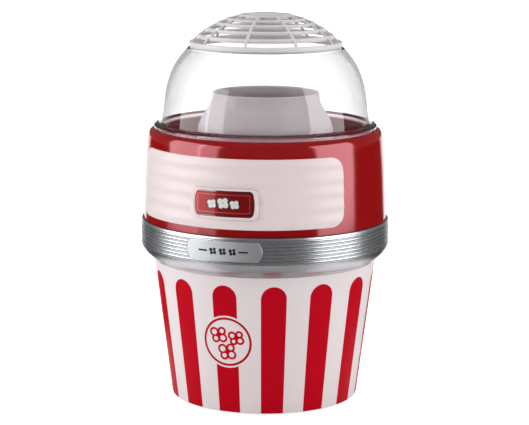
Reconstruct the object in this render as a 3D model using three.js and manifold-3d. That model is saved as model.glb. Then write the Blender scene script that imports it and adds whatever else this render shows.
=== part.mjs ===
// Hot-air popcorn maker: striped bucket base, lift-off bowl with a chimney, clear dome and vent grille.
// Millimetres, +Z up. The origin is the middle of the footprint, on the surface that the feet stand on,
// and the front faces -Y. Angles round the body are measured from the front, towards +X.
import {
  BoxGeometry,
  BufferGeometry,
  CylinderGeometry,
  ExtrudeGeometry,
  Float32BufferAttribute,
  Group,
  LatheGeometry,
  MathUtils,
  Mesh,
  MeshStandardMaterial,
  Shape,
  ShapeUtils,
  SplineCurve,
  Vector2,
} from "three";
import { mergeVertices } from "three/addons/utils/BufferGeometryUtils.js";
import Module from "manifold-3d";

const wasm = await Module();
wasm.setup();

// ---- driving dimensions ----
const LARGE_SIDES = 40; // sides of the rings that show the outer shape
const MEDIUM_SIDES = 28;
const SMALL_SIDES = 12;
const SCREW_SIDES = 8;
const GAP = 0.3; // left between pieces that rest on each other
const CUT = 1; // how far a cutter runs past the face it opens

const BUCKET = { bottom: 2.5, top: 137, lowRadius: 90.4, highRadius: 107.6, wall: 3 };
const COVER = { bottom: 3, top: 6.2, radius: 86.9 };
const AIR_SLOTS = 12;
const FOOT = { radius: 8, ringRadius: 66, studRadius: 2.2, count: 4 };
const COVER_SCREW = { ringRadius: 78.5, headRadius: 3.4, shankRadius: 1.4, tip: 18, count: 4 };
const BAND = { bottom: 137.3, ribsLow: 151.2, ribsHigh: 174.4, top: 176.2, radius: 120, ribs: 7 };
const GROOVE_DEPTH = 1.3;
const PLAQUE = { halfAngle: 17.5, low: 153.6, high: 172.4, corner: 5, thick: 1.3 };
const DECK = { bottom: 171, top: 173.6, outer: 109.9, inner: 48.2 };
const CHAMBER = { bottom: 108, outer: 47.5, inner: 46, flange: 60, slots: 12 };
const DUCT = { bottom: 58, top: 170.6, inner: 57.5, wall: 1 };
const BRACKET = { bottom: 54.7, top: 57.7, inner: 50, outer: 72, postRadius: 67, arms: 3 };
const MOTOR = { bottom: 11, top: 54.3, radius: 20 };
const SHAFT_RADIUS = 1.5;
const FAN = { bottom: 62, top: 80, radius: 50, hubRadius: 9, blades: 7 };
const HEATER = { bottom: 86, top: 100.4, radius: 53, coilRadii: [24, 42], wire: 2.2 };
const BOWL = { bottom: 176.6, floor: 189, rim: 262.8, hole: 62 };
const FASCIA = { halfAngle: 57.6, low: 183.2, high: 248, corner: 14, thick: 1.2 };
const SURROUND = { halfAngle: 16.2, low: 192.6, high: 220.9, corner: 4.5, thick: 1.5 };
const BEZEL = { halfAngle: 14.4, low: 195.2, high: 219.1, corner: 3, border: 1 };
const CHIMNEY = { foot: 189.3, footRadius: 65.5, neckRadius: 51.8, top: 297.2 };
const DOME = { foot: 256.6, flangeRadius: 107.2, opening: 72.2, wall: 2 };
const GRILLE = { spigot: 71.6, hoopWidth: 4, spokes: 9, spokeWidth: 2.6 };
const GRILLE_HOOPS = [
  // outer radius, top and height of each hoop, from the rim inwards
  [73.6, 346, 4.6],
  [65.1, 352.7, 4],
  [56.3, 358.9, 3.5],
  [46.9, 364.2, 3.2],
  [37.9, 368.1, 2.8],
  [26, 371.5, 2.4],
];
const SPOKE_START = -87; // angle of the first spoke
const GRILLE_CAP = { radius: 17.1, edge: 371.6, top: 373.4 };
const SWITCH = { height: 70, width: 26, tall: 34, depth: 16, tilt: 8 };
const INLET = { height: 24, angle: 158, flange: 7.5, body: 5.2, bore: 3.4 };

// ---- colours ----
const plastic = (color, roughness) => new MeshStandardMaterial({ color, roughness, metalness: 0 });
const metal = (color, roughness) => new MeshStandardMaterial({ color, roughness, metalness: 1 });
const whitePlastic = plastic("#dcdad9", 0.3);
const redPlastic = plastic("#8f0408", 0.18);
const creamPlastic = plastic("#d9cfc8", 0.35);
const greyPlastic = plastic("#cfcac9", 0.45);
const clearPlastic = new MeshStandardMaterial({
  color: "#f4f4f6",
  roughness: 0.05,
  transparent: true,
  opacity: 0.25,
});
const blackPlastic = plastic("#161617", 0.4);
const blackRubber = plastic("#1c1c1c", 0.8);
const silver = metal("#b9bbbe", 0.32);
const aluminium = metal("#c4c6c8", 0.4);
const steel = metal("#9b9ea2", 0.4);
const darkChrome = metal("#8b8a8d", 0.12);
const redMetal = metal("#9c0f14", 0.35);
const mica = plastic("#b9a27c", 0.6);
const board = plastic("#7a5a2c", 0.6);

// ---- geometry helpers ----
const radians = MathUtils.degToRad;

// Keeps only merged positions, which is what a solid needs.
function positionsOnly(geometry) {
  const plain = geometry.index ? geometry.clone() : geometry;
  plain.deleteAttribute("normal");
  plain.deleteAttribute("uv");
  return mergeVertices(plain, 1e-4);
}

function solidFrom(geometry) {
  const merged = positionsOnly(geometry);
  return new wasm.Manifold(
    new wasm.Mesh({
      numProp: 3,
      vertProperties: merged.attributes.position.array,
      triVerts: new Uint32Array(merged.index.array),
    }),
  );
}

function geometryFrom(solid) {
  const mesh = solid.getMesh();
  const geometry = new BufferGeometry();
  geometry.setAttribute("position", new Float32BufferAttribute(mesh.vertProperties, 3));
  geometry.setIndex([...mesh.triVerts]);
  return geometry;
}

const cut = (geometry, cutters) =>
  geometryFrom(
    cutters.reduce((solid, cutter) => solid.subtract(solidFrom(cutter)), solidFrom(geometry)),
  );

const join = (pieces) =>
  geometryFrom(pieces.map(solidFrom).reduce((whole, piece) => whole.add(piece)));

// A profile of [radius, height] points turned about Z. It runs up the outside and down the inside.
function turned(profile, sides) {
  const onAxis = profile[0][0] === 0;
  const points = onAxis ? profile : [...profile, profile[0]];
  const vectors = points.map(([radius, height]) => new Vector2(radius, height));
  return new LatheGeometry(vectors, sides).rotateX(Math.PI / 2);
}

const box = (width, depth, height, x, y, z) =>
  new BoxGeometry(width, depth, height).translate(x, y, z);

const post = (radius, low, high, sides = SMALL_SIDES) =>
  new CylinderGeometry(radius, radius, high - low, sides)
    .rotateX(Math.PI / 2)
    .translate(0, 0, (low + high) / 2);

const spinAbout = (geometry, degrees) => geometry.rotateZ(radians(degrees));

const around = (count, make) => Array.from({ length: count }, (_, i) => make((i * 360) / count, i));

// A body that follows the round wall: sectionAt(angle) gives its [radius, height] section at each angle.
function wrapped(angles, sectionAt) {
  const sections = angles.map(sectionAt);
  const size = sections[0].length;
  const positions = sections.flatMap((section, i) =>
    section.flatMap(([radius, height]) => [
      radius * Math.sin(radians(angles[i])),
      -radius * Math.cos(radians(angles[i])),
      height,
    ]),
  );
  const index = [];
  for (let i = 0; i < sections.length - 1; i += 1) {
    for (let k = 0; k < size; k += 1) {
      const a = i * size + k;
      const d = i * size + ((k + 1) % size);
      index.push(a, a + size, d + size, a, d + size, d);
    }
  }
  const last = (sections.length - 1) * size;
  const contour = sections[0].map(([radius, height]) => new Vector2(radius, height));
  for (const [a, b, c] of ShapeUtils.triangulateShape(contour, [])) {
    index.push(a, b, c, last + a, last + c, last + b);
  }
  const geometry = new BufferGeometry();
  geometry.setAttribute("position", new Float32BufferAttribute(positions, 3));
  geometry.setIndex(index);
  return geometry;
}

// Angles across a plate with round corners: close together in the corners, then one per side.
function plateAngles(halfAngle, cornerAngle) {
  const step = 360 / LARGE_SIDES;
  const corner = [0, 0.05, 0.2, 0.45, 0.75, 1].map((share) => halfAngle - share * cornerAngle);
  const middle = [];
  for (let angle = 0; angle < halfAngle - cornerAngle - 1; angle += step) middle.push(angle);
  const half = [...corner, ...middle.reverse()];
  return [...half.map((angle) => -angle), ...half.reverse().filter((angle) => angle > 0)];
}

// How far a round corner draws an edge in, at a distance from the plate's end.
const cornerInset = (distance, radius) =>
  distance >= radius ? 0 : radius - Math.sqrt(radius ** 2 - (radius - distance) ** 2);

// A plate of even thickness on the round wall, with round corners. levels are heights where it bends.
function roundedPlate({ halfAngle, low, high, corner }, wallRadius, inner, outer, levels = []) {
  const arc = (angle) => radians(halfAngle - Math.abs(angle)) * wallRadius((low + high) / 2);
  const cornerAngle = MathUtils.radToDeg(corner / wallRadius((low + high) / 2));
  return wrapped(plateAngles(halfAngle, cornerAngle), (angle) => {
    const inset = cornerInset(arc(angle), corner);
    const heights = [low + inset, ...levels, high - inset];
    const outside = heights.map((height) => [wallRadius(height) + outer, height]);
    const inside = heights.map((height) => [wallRadius(height) + inner, height]);
    return [...outside, ...inside.reverse()];
  });
}

const part = (name, geometry, material) => {
  const mesh = new Mesh(positionsOnly(geometry), material);
  mesh.geometry.computeVertexNormals();
  mesh.name = name;
  return mesh;
};

const placed = (mesh, x, y, z = 0) => {
  mesh.position.set(x, y, z);
  return mesh;
};

const onRing = (radius, degrees) => [
  radius * Math.sin(radians(degrees)),
  -radius * Math.cos(radians(degrees)),
];

// ---- wall radii, used by the pieces that sit on those walls ----
const BUCKET_SLOPE = (BUCKET.highRadius - BUCKET.lowRadius) / (BUCKET.top - BUCKET.bottom);
const bucketRadius = (height) => BUCKET.lowRadius + (height - BUCKET.bottom) * BUCKET_SLOPE;

// Outside of the bowl from its foot to below its shoulder.
const BOWL_WALL = [
  [117.2, BOWL.bottom],
  [116.2, 202],
  [115.3, 225],
  [113.6, 250],
];
function bowlRadius(height) {
  const upper = BOWL_WALL.findIndex(([, level], i) => i > 0 && height <= level);
  const [r0, z0] = BOWL_WALL[upper - 1];
  const [r1, z1] = BOWL_WALL[upper];
  return r0 + ((r1 - r0) * (height - z0)) / (z1 - z0);
}

// A group on the bucket's wall whose Y axis points straight out of the wall.
function onBucketWall(angle, height) {
  const tilted = new Group();
  tilted.position.set(0, bucketRadius(height), height);
  tilted.rotation.x = -Math.atan(BUCKET_SLOPE);
  const turnedGroup = new Group();
  turnedGroup.rotation.z = radians(angle - 180);
  turnedGroup.add(tilted);
  return { outer: turnedGroup, inner: tilted };
}

// ---- base: bucket and what closes it ----
const SWITCH_OPENING = { width: 20.8, tall: 28.8 };

function bucketGeometry() {
  const { bottom, top, lowRadius, highRadius, wall } = BUCKET;
  const shell = turned(
    [
      [lowRadius, bottom],
      [highRadius, top],
      [highRadius - wall, top],
      [lowRadius - wall, bottom],
    ],
    LARGE_SIDES,
  );
  const bossLow = COVER.top + GAP;
  const bossHigh = 28;
  const screwBore = COVER_SCREW.shankRadius + 0.35;
  const boss = (degrees) => {
    const [x, y] = onRing(COVER_SCREW.ringRadius, degrees);
    return post(4, bossLow, bossHigh, SCREW_SIDES).translate(x, y, 0);
  };
  const rib = (degrees) =>
    spinAbout(box(2.4, 10, bossHigh - bossLow, 0, -84.5, (bossLow + bossHigh) / 2), degrees);
  const screwHole = (degrees) => {
    const [x, y] = onRing(COVER_SCREW.ringRadius, degrees);
    return post(screwBore, bossLow - CUT, COVER_SCREW.tip + 2, SCREW_SIDES).translate(x, y, 0);
  };
  const { inner: switchFrame, outer: switchTurn } = onBucketWall(180, SWITCH.height);
  const switchHole = box(SWITCH_OPENING.width, 14, SWITCH_OPENING.tall, 0, 0, 0);
  const { inner: inletFrame, outer: inletTurn } = onBucketWall(INLET.angle, INLET.height);
  const inletHole = post(INLET.body + 0.4, -7, 7).rotateX(Math.PI / 2);
  switchTurn.updateMatrixWorld(true);
  inletTurn.updateMatrixWorld(true);
  const solid = join([shell, ...around(COVER_SCREW.count, boss), ...around(COVER_SCREW.count, rib)]);
  return cut(solid, [
    ...around(COVER_SCREW.count, screwHole),
    switchHole.applyMatrix4(switchFrame.matrixWorld),
    inletHole.applyMatrix4(inletFrame.matrixWorld),
  ]);
}

function bottomCoverGeometry() {
  const { bottom, top, radius } = COVER;
  const disc = post(radius, bottom, top, LARGE_SIDES);
  const bracketPost = (degrees) => {
    const [x, y] = onRing(BRACKET.postRadius, degrees);
    return post(4, top - CUT, BRACKET.bottom - GAP, SCREW_SIDES).translate(x, y, 0);
  };
  const airSlot = (degrees) =>
    spinAbout(box(3.2, 22, top - bottom + 2 * CUT, 0, -31, (bottom + top) / 2), degrees);
  const footHole = (degrees) => {
    const [x, y] = onRing(FOOT.ringRadius, degrees + 45);
    return post(FOOT.studRadius + 0.4, bottom - CUT, top + CUT, SCREW_SIDES).translate(x, y, 0);
  };
  const screwHole = (degrees) => {
    const [x, y] = onRing(COVER_SCREW.ringRadius, degrees);
    const shank = post(COVER_SCREW.shankRadius + 0.5, bottom - CUT, top + CUT, SCREW_SIDES);
    const head = post(COVER_SCREW.headRadius + 0.5, bottom - CUT, bottom + 1.8, SCREW_SIDES);
    return join([shank, head]).translate(x, y, 0);
  };
  const bracketScrewHole = (degrees) => {
    const [x, y] = onRing(BRACKET.postRadius, degrees);
    const bore = COVER_SCREW.shankRadius + 0.35;
    return post(bore, BRACKET.bottom - 12, BRACKET.bottom + CUT, SCREW_SIDES).translate(x, y, 0);
  };
  return cut(join([disc, ...around(BRACKET.arms, bracketPost)]), [
    ...around(AIR_SLOTS, airSlot),
    ...around(FOOT.count, footHole),
    ...around(COVER_SCREW.count, screwHole),
    ...around(BRACKET.arms, bracketScrewHole),
  ]);
}

function footGeometry() {
  const { radius, studRadius } = FOOT;
  const top = COVER.bottom - GAP;
  return turned(
    [
      [0, 0],
      [radius - 0.8, 0],
      [radius, 0.8],
      [radius, top],
      [studRadius, top],
      [studRadius, COVER.top + 1.2],
      [0, COVER.top + 1.2],
    ],
    SMALL_SIDES,
  );
}

// A pan-head screw pointing up, its head's outer face at height 0.
function screwGeometry(length) {
  const { headRadius, shankRadius } = COVER_SCREW;
  return turned(
    [
      [0, 0],
      [headRadius - 0.6, 0],
      [headRadius, 0.6],
      [headRadius, 1.4],
      [shankRadius, 1.4],
      [shankRadius, length - 1],
      [0, length],
    ],
    SCREW_SIDES,
  );
}

// ---- base: trim band and its plaque ----
const PLAQUE_MIDDLE = (PLAQUE.low + PLAQUE.high) / 2;

function bandProfile() {
  const { bottom, ribsLow, ribsHigh, top, radius, ribs } = BAND;
  const cove = [
    [108.2, bottom],
    [112.8, 141.6],
    [118, 147.6],
    [radius, ribsLow],
  ];
  const pitch = (ribsHigh - ribsLow) / ribs;
  const grooves = Array.from({ length: ribs - 1 }, (_, i) => [
    [radius, ribsLow + (i + 0.5) * pitch],
    [radius - GROOVE_DEPTH, ribsLow + (i + 1) * pitch],
  ]).flat();
  const ledge = DECK.bottom - GAP;
  const lip = [
    [radius - 0.2, ribsHigh],
    [radius - 1.8, top],
    [DECK.outer + 0.5, top],
    [DECK.outer + 0.5, ledge],
    [105.5, ledge],
    [105.5, ledge - 3],
    [115, ledge - 6],
    [115, ribsLow],
    [104.8, bottom],
  ];
  return [...cove, ...grooves, ...lip];
}

// The plaque's ends bow outwards, so its half angle is widest half way up.
function plaqueSolid(spread, inner, outer) {
  const half = (PLAQUE.high - PLAQUE.low) / 2 + spread;
  const low = PLAQUE_MIDDLE - half;
  const high = PLAQUE_MIDDLE + half;
  const radius = () => BAND.radius;
  const plate = { halfAngle: PLAQUE.halfAngle + spread / 2, low, high, corner: PLAQUE.corner };
  return roundedPlate(plate, radius, inner, outer);
}

// ---- base: deck, popping chamber and air path ----
const ring = (inner, outer, low, high, sides) =>
  turned(
    [
      [outer, low],
      [outer, high],
      [inner, high],
      [inner, low],
    ],
    sides,
  );

function chamberGeometry() {
  const { bottom, outer, inner, flange, slots } = CHAMBER;
  const seat = DECK.top + GAP;
  const cup = turned(
    [
      [0, bottom + 3.5],
      [30, bottom],
      [outer, bottom],
      [outer, seat],
      [flange, seat],
      [flange, seat + 1.5],
      [inner, seat + 1.5],
      [inner, bottom + 1.8],
      [30, bottom + 1.8],
      [0, bottom + 5.3],
    ],
    MEDIUM_SIDES,
  );
  const slot = (degrees) =>
    spinAbout(box(2.4, 12, 13, 0, 0, 0).rotateY(radians(40)).translate(0, -46, bottom + 10), degrees);
  return cut(cup, around(slots, slot));
}

const ductGeometry = () =>
  turned(
    [
      [DUCT.inner + DUCT.wall, DUCT.bottom],
      [DUCT.inner + DUCT.wall, DUCT.top - 1.6],
      [64, DUCT.top - 1.6],
      [64, DUCT.top],
      [DUCT.inner, DUCT.top],
      [DUCT.inner, DUCT.bottom],
    ],
    MEDIUM_SIDES,
  );

function bracketGeometry() {
  const { bottom, top, inner, outer, postRadius, arms } = BRACKET;
  const hubRadius = 16;
  const arm = (degrees) => {
    const length = inner + 4 - (hubRadius - 2);
    const middle = (inner + 4 + hubRadius - 2) / 2;
    return spinAbout(box(9, length, top - bottom, 0, -middle, (top + bottom) / 2), degrees);
  };
  const screwHole = (degrees) => {
    const [x, y] = onRing(postRadius, degrees);
    return post(COVER_SCREW.shankRadius + 0.5, bottom - CUT, top + CUT, 12).translate(x, y, 0);
  };
  const rim = ring(inner, outer, bottom, top, MEDIUM_SIDES);
  const hub = ring(8, hubRadius, bottom, top, SMALL_SIDES);
  return cut(join([rim, hub, ...around(arms, arm)]), around(arms, screwHole));
}

const motorGeometry = () =>
  turned(
    [
      [0, MOTOR.bottom],
      [5, MOTOR.bottom],
      [5, 14],
      [MOTOR.radius, 14],
      [MOTOR.radius, 50.5],
      [12, MOTOR.top],
      [SHAFT_RADIUS + 0.5, MOTOR.top],
      [SHAFT_RADIUS + 0.5, 46],
      [0, 46],
    ],
    16,
  );

function impellerGeometry() {
  const { bottom, top, radius, hubRadius, blades } = FAN;
  const hub = ring(SHAFT_RADIUS + 0.4, hubRadius, bottom, top, SMALL_SIDES);
  const reach = radius - hubRadius + 2;
  const blade = (degrees) =>
    spinAbout(
      box(18, reach, 1.8, 0, 0, 0)
        .rotateY(radians(-35))
        .translate(0, -(hubRadius - 2 + reach / 2), (bottom + top) / 2),
      degrees,
    );
  return join([hub, ...around(blades, blade)]);
}

function heaterFormerGeometry() {
  const { bottom, top, radius } = HEATER;
  const plate = (degrees) =>
    spinAbout(box(1.6, 2 * radius, top - bottom, 0, 0, (bottom + top) / 2), degrees / 2);
  return join(around(3, plate));
}

// A heating coil: a ring of round wire lying on the former.
function coilGeometry(radius) {
  const { top, wire } = HEATER;
  const section = around(5, (degrees) => [
    radius + wire * Math.cos(radians(degrees)),
    top + 0.4 + wire + wire * Math.sin(radians(degrees)),
  ]);
  return turned(section, 20);
}

const thermostatGeometry = () =>
  join([post(8, 0, 5, SMALL_SIDES), box(14, 5, 1.4, 0, 0, 5.6)]);

function rectifierGeometry() {
  const plate = box(26, 18, 1.6, 0, 0, 0.8);
  const diode = (x) => box(2.6, 5, 2.8, x, 0, 2.9);
  return join([plate, ...[-9, -3, 3, 9].map(diode)]);
}

// ---- base: switch and cord inlet, drawn with Y pointing out of the wall ----
function switchHousingGeometry() {
  const { width, tall, depth } = SWITCH;
  const bezel = box(width, 2, tall, 0, GAP + 1, 0);
  const body = box(20, depth, 28, 0, GAP + 0.1 - depth / 2, 0);
  const pocket = box(14.4, 12, 22.4, 0, GAP + 2 + CUT - 6, 0);
  return cut(join([bezel, body]), [pocket]);
}

function rockerGeometry() {
  const outline = [
    [-10.4, 2.8],
    [-10.4, -2.5],
    [-3, -5],
    [3, -5],
    [10.4, -2.5],
    [10.4, 2.8],
    [0, 1.6],
  ].map(([x, y]) => new Vector2(x, y));
  const width = 13.4;
  return new ExtrudeGeometry(new Shape(outline), { depth: width, bevelEnabled: false })
    .translate(0, 0, -width / 2)
    .rotateY(-Math.PI / 2);
}

function inletGeometry() {
  const { flange, body, bore } = INLET;
  const bush = turned(
    [
      [body, -8],
      [body, GAP],
      [flange, GAP],
      [flange, GAP + 2],
      [bore + 1.4, GAP + 4],
      [bore, GAP + 4],
      [bore, -8],
    ],
    SMALL_SIDES,
  );
  return bush.rotateX(-Math.PI / 2);
}

// ---- bowl ----
const bowlProfile = () => [
  ...BOWL_WALL,
  [113, 256.5],
  [110, 262.3],
  [106.2, BOWL.rim],
  [105.5, BOWL.rim - 0.8],
  [105.5, 254],
  [103.4, 253.2],
  [101, 193.5],
  [97.5, BOWL.floor],
  [BOWL.hole, BOWL.floor],
  [BOWL.hole, BOWL.floor - 2.5],
  [98.4, BOWL.floor - 2.5],
  [98.4, DECK.top + 0.8],
  [100.8, DECK.top + 0.8],
  [105.8, 251],
  [107.4, 259.8],
  [109.6, 259.4],
  [113, 225],
  [114.8, BOWL.bottom],
];

// The chimney's neck flares down to its foot, inside and outside.
function chimneyGeometry() {
  const { foot, footRadius, neckRadius, top } = CHIMNEY;
  const flareOutside = new SplineCurve(
    [
      [footRadius, 259.5],
      [62.7, 269.8],
      [57.6, 279],
      [neckRadius, 292],
    ].map(([x, y]) => new Vector2(x, y)),
  );
  const flareInside = new SplineCurve(
    [
      [neckRadius - 2.6, 291],
      [55, 278],
      [60.2, 268.5],
      [footRadius - 2.5, 257],
    ].map(([x, y]) => new Vector2(x, y)),
  );
  const pointsOf = (curve, steps) => curve.getPoints(steps).map(({ x, y }) => [x, y]);
  const spigot = BOWL.hole - 0.4;
  return turned(
    [
      [spigot, BOWL.bottom],
      [spigot, foot],
      [footRadius, foot],
      ...pointsOf(flareOutside, 4),
      [neckRadius, top - 1.4],
      [neckRadius - 1.1, top],
      [neckRadius - 2.2, top - 0.6],
      ...pointsOf(flareInside, 3),
      [footRadius - 2.5, foot + 3],
      [spigot - 2.4, foot],
      [spigot - 2.4, BOWL.bottom],
    ],
    MEDIUM_SIDES,
  );
}

const fasciaGeometry = () =>
  roundedPlate(FASCIA, bowlRadius, GAP + 0.05, GAP + FASCIA.thick, [202, 225]);

const fasciaRadius = (height) => bowlRadius(height) + GAP + FASCIA.thick;
const FASCIA_MEAN_RADIUS = fasciaRadius((BEZEL.low + BEZEL.high) / 2);
const SEAT = 0.15; // left between the nameplate's own pieces
const SURROUND_FLOOR = 0.6; // height of the surround's floor above the fascia

// The nameplate's pieces lie on the fascia; spread widens the bezel's outline all round.
function onFascia(spread, inner, outer) {
  const halfAngle = BEZEL.halfAngle + MathUtils.radToDeg(spread / FASCIA_MEAN_RADIUS);
  const corner = BEZEL.corner + spread;
  const plate = { halfAngle, low: BEZEL.low - spread, high: BEZEL.high + spread, corner };
  return roundedPlate(plate, fasciaRadius, inner, outer);
}

const surroundGeometry = () =>
  cut(roundedPlate(SURROUND, fasciaRadius, SEAT, SURROUND.thick), [
    onFascia(SEAT, SURROUND_FLOOR, SURROUND.thick + CUT),
  ]);

const bezelGeometry = () =>
  cut(onFascia(0, SURROUND_FLOOR + SEAT, SURROUND.thick), [
    onFascia(-BEZEL.border, SURROUND_FLOOR, SURROUND.thick + CUT),
  ]);

const nameplateInsertGeometry = () =>
  onFascia(-BEZEL.border - SEAT, SURROUND_FLOOR + SEAT, SURROUND.thick - 0.2);

// ---- dome and grille ----
function domeGeometry() {
  const { foot, flangeRadius, opening, wall } = DOME;
  const side = new SplineCurve(
    [
      [102.2, 270.5],
      [99.5, 287.6],
      [93.1, 310.7],
      [84.6, 327.8],
      [75.2, 339.2],
    ].map(([x, y]) => new Vector2(x, y)),
  );
  const steps = 6;
  const outside = side.getPoints(steps);
  const inside = outside.map((point, i) => {
    const { x, y } = side.getTangent(i / steps);
    return [point.x - wall * y, point.y + wall * x];
  });
  return turned(
    [
      [flangeRadius - 2.5, foot],
      [flangeRadius - 2.5, BOWL.rim + GAP],
      [flangeRadius, BOWL.rim + GAP],
      [flangeRadius, 265.6],
      [flangeRadius - 1.4, 267.4],
      ...outside.map(({ x, y }) => [x, y]),
      [74, 340.2],
      [opening, 339.4],
      ...inside.reverse(),
      [flangeRadius - 5.6, foot],
    ],
    LARGE_SIDES,
  );
}

function grilleGeometry() {
  const { spigot, hoopWidth, spokes, spokeWidth } = GRILLE;
  const sides = 24;
  const hoop = ([radius, top, height]) =>
    turned(
      [
        [radius - 0.6, top - height],
        [radius, top - 1.4],
        [radius - hoopWidth / 2, top],
        [radius - hoopWidth, top - height + 0.4],
      ],
      sides,
    );
  const cap = turned(
    [
      [0, GRILLE_CAP.edge - 2.6],
      [GRILLE_CAP.radius, GRILLE_CAP.edge - 2.6],
      [GRILLE_CAP.radius, GRILLE_CAP.edge],
      [GRILLE_CAP.radius * 0.6, GRILLE_CAP.top - 0.5],
      [0, GRILLE_CAP.top],
    ],
    sides,
  );
  const [, rimTop, rimHeight] = GRILLE_HOOPS[0];
  const rimBase = rimTop - rimHeight;
  const neck = ring(spigot - 2, spigot, rimBase - 2.4, rimBase + 1.5, sides);
  const capPoint = [GRILLE_CAP.radius - 3, GRILLE_CAP.edge];
  const chain = [[spigot, rimTop], ...GRILLE_HOOPS.slice(3), capPoint];
  const upper = chain.map(([x, y]) => new Vector2(x, y - 1));
  const lower = chain.map(([x, y]) => new Vector2(x, y - 3.2)).reverse();
  const spoke = (degrees) =>
    spinAbout(
      new ExtrudeGeometry(new Shape([...upper, ...lower]), { depth: spokeWidth, bevelEnabled: false })
        .translate(0, 0, -spokeWidth / 2)
        .rotateX(Math.PI / 2),
      degrees + SPOKE_START,
    );
  return join([cap, neck, ...GRILLE_HOOPS.map(hoop), ...around(spokes, spoke)]);
}

// ---- assembly ----
function baseGroup() {
  const base = new Group();
  base.add(
    part("base_bucket", bucketGeometry(), whitePlastic),
    part("bottom_cover", bottomCoverGeometry(), blackPlastic),
    part("trim_band", cut(turned(bandProfile(), LARGE_SIDES), [plaqueSolid(0.35, -1.7, CUT)]), silver),
    part("band_plaque", plaqueSolid(0, -1.4, -0.1), silver),
    part("top_deck", ring(DECK.inner, DECK.outer, DECK.bottom, DECK.top, LARGE_SIDES), whitePlastic),
    part("popping_chamber", chamberGeometry(), aluminium),
    part("air_duct", ductGeometry(), steel),
    part("motor_bracket", bracketGeometry(), steel),
    part("fan_motor", motorGeometry(), steel),
    part("heater_former", heaterFormerGeometry(), mica),
    placed(part("rectifier_board", rectifierGeometry(), board), 42, -24, COVER.top + GAP),
  );
  HEATER.coilRadii.forEach((radius, i) => {
    base.add(part(`heater_coil_${i + 1}`, coilGeometry(radius), steel));
  });
  around(FOOT.count, (degrees, i) => {
    const [x, y] = onRing(FOOT.ringRadius, degrees + 45);
    base.add(placed(part(`foot_${i + 1}`, footGeometry(), blackRubber), x, y));
  });
  around(COVER_SCREW.count, (degrees, i) => {
    const [x, y] = onRing(COVER_SCREW.ringRadius, degrees);
    const screw = part(`cover_screw_${i + 1}`, screwGeometry(14), steel);
    base.add(placed(screw, x, y, COVER.bottom + 0.1));
  });
  around(BRACKET.arms, (degrees, i) => {
    const [x, y] = onRing(BRACKET.postRadius, degrees);
    const screw = placed(part(`bracket_screw_${i + 1}`, screwGeometry(12), steel), x, y, BRACKET.top + 1.8);
    screw.rotation.x = Math.PI;
    base.add(screw);
  });
  const thermostat = part("thermostat", thermostatGeometry(), blackPlastic);
  thermostat.rotation.y = Math.PI / 2;
  base.add(placed(thermostat, DUCT.inner + DUCT.wall + 0.4, 0, 150));
  const fuse = part("thermal_fuse", post(2.2, -7, 7, 12), steel);
  base.add(placed(fuse, -(DUCT.inner + DUCT.wall + 2.8), 0, 140));
  return base;
}

function switchGroups() {
  const wall = onBucketWall(180, SWITCH.height);
  const housing = part("switch_housing", switchHousingGeometry(), blackPlastic);
  const rocker = placed(part("switch_rocker", rockerGeometry(), redPlastic), 0, GAP, 0);
  rocker.rotation.x = radians(-SWITCH.tilt);
  wall.inner.add(housing, rocker);
  const inletWall = onBucketWall(INLET.angle, INLET.height);
  inletWall.inner.add(part("cord_inlet", inletGeometry(), blackRubber));
  return [wall.outer, inletWall.outer];
}

function fanGroup() {
  const fan = new Group();
  fan.add(
    part("motor_shaft", post(SHAFT_RADIUS, 46.6, FAN.top + 2, 12), steel),
    part("fan_impeller", impellerGeometry(), blackPlastic),
  );
  return fan;
}

function bowlGroup() {
  const bowl = new Group();
  bowl.add(
    part("bowl_shell", turned(bowlProfile(), LARGE_SIDES), redPlastic),
    part("chimney", chimneyGeometry(), greyPlastic),
    part("fascia_panel", fasciaGeometry(), creamPlastic),
    part("nameplate_surround", surroundGeometry(), creamPlastic),
    part("nameplate_bezel", bezelGeometry(), darkChrome),
    part("nameplate_insert", nameplateInsertGeometry(), redMetal),
  );
  return bowl;
}

function domeGroup() {
  const dome = new Group();
  dome.add(
    part("dome_cover", domeGeometry(), clearPlastic),
    part("vent_grille", grilleGeometry(), greyPlastic),
  );
  return dome;
}

const popcornMaker = new Group();
popcornMaker.add(baseGroup(), ...switchGroups(), fanGroup(), bowlGroup(), domeGroup());

export default popcornMaker;
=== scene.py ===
"""Popcorn maker: fine meshes, materials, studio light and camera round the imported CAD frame.

Lengths in the tables and helpers are millimetres; make_object() turns them into metres.
Angles round the body are degrees from the front (-Y), towards +X.
"""
import math

import bmesh
import bpy
from mathutils import Matrix, Vector


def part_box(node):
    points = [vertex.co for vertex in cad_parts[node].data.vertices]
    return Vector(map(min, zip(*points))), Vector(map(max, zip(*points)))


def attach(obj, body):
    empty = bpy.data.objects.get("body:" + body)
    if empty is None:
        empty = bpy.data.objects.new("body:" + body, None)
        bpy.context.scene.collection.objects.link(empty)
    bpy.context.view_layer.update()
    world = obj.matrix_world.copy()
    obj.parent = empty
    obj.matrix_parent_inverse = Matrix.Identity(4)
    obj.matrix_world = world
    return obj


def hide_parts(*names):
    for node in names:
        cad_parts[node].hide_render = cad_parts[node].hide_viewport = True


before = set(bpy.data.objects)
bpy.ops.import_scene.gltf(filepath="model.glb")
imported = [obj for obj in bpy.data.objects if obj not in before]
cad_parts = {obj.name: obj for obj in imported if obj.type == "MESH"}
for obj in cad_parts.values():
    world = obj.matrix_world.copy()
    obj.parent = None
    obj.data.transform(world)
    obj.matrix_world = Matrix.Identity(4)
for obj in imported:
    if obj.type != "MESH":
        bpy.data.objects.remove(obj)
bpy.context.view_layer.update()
scene = bpy.context.scene

MM = 0.001
SIDES = 192  # sides of the large turned pieces
SMALL_SIDES = 48
ROD_SIDES = 24
CORNER_STEPS = 5
SHARP = 32  # degrees between faces, from which an edge is sharp
BAND_SHARP = 45


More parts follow.
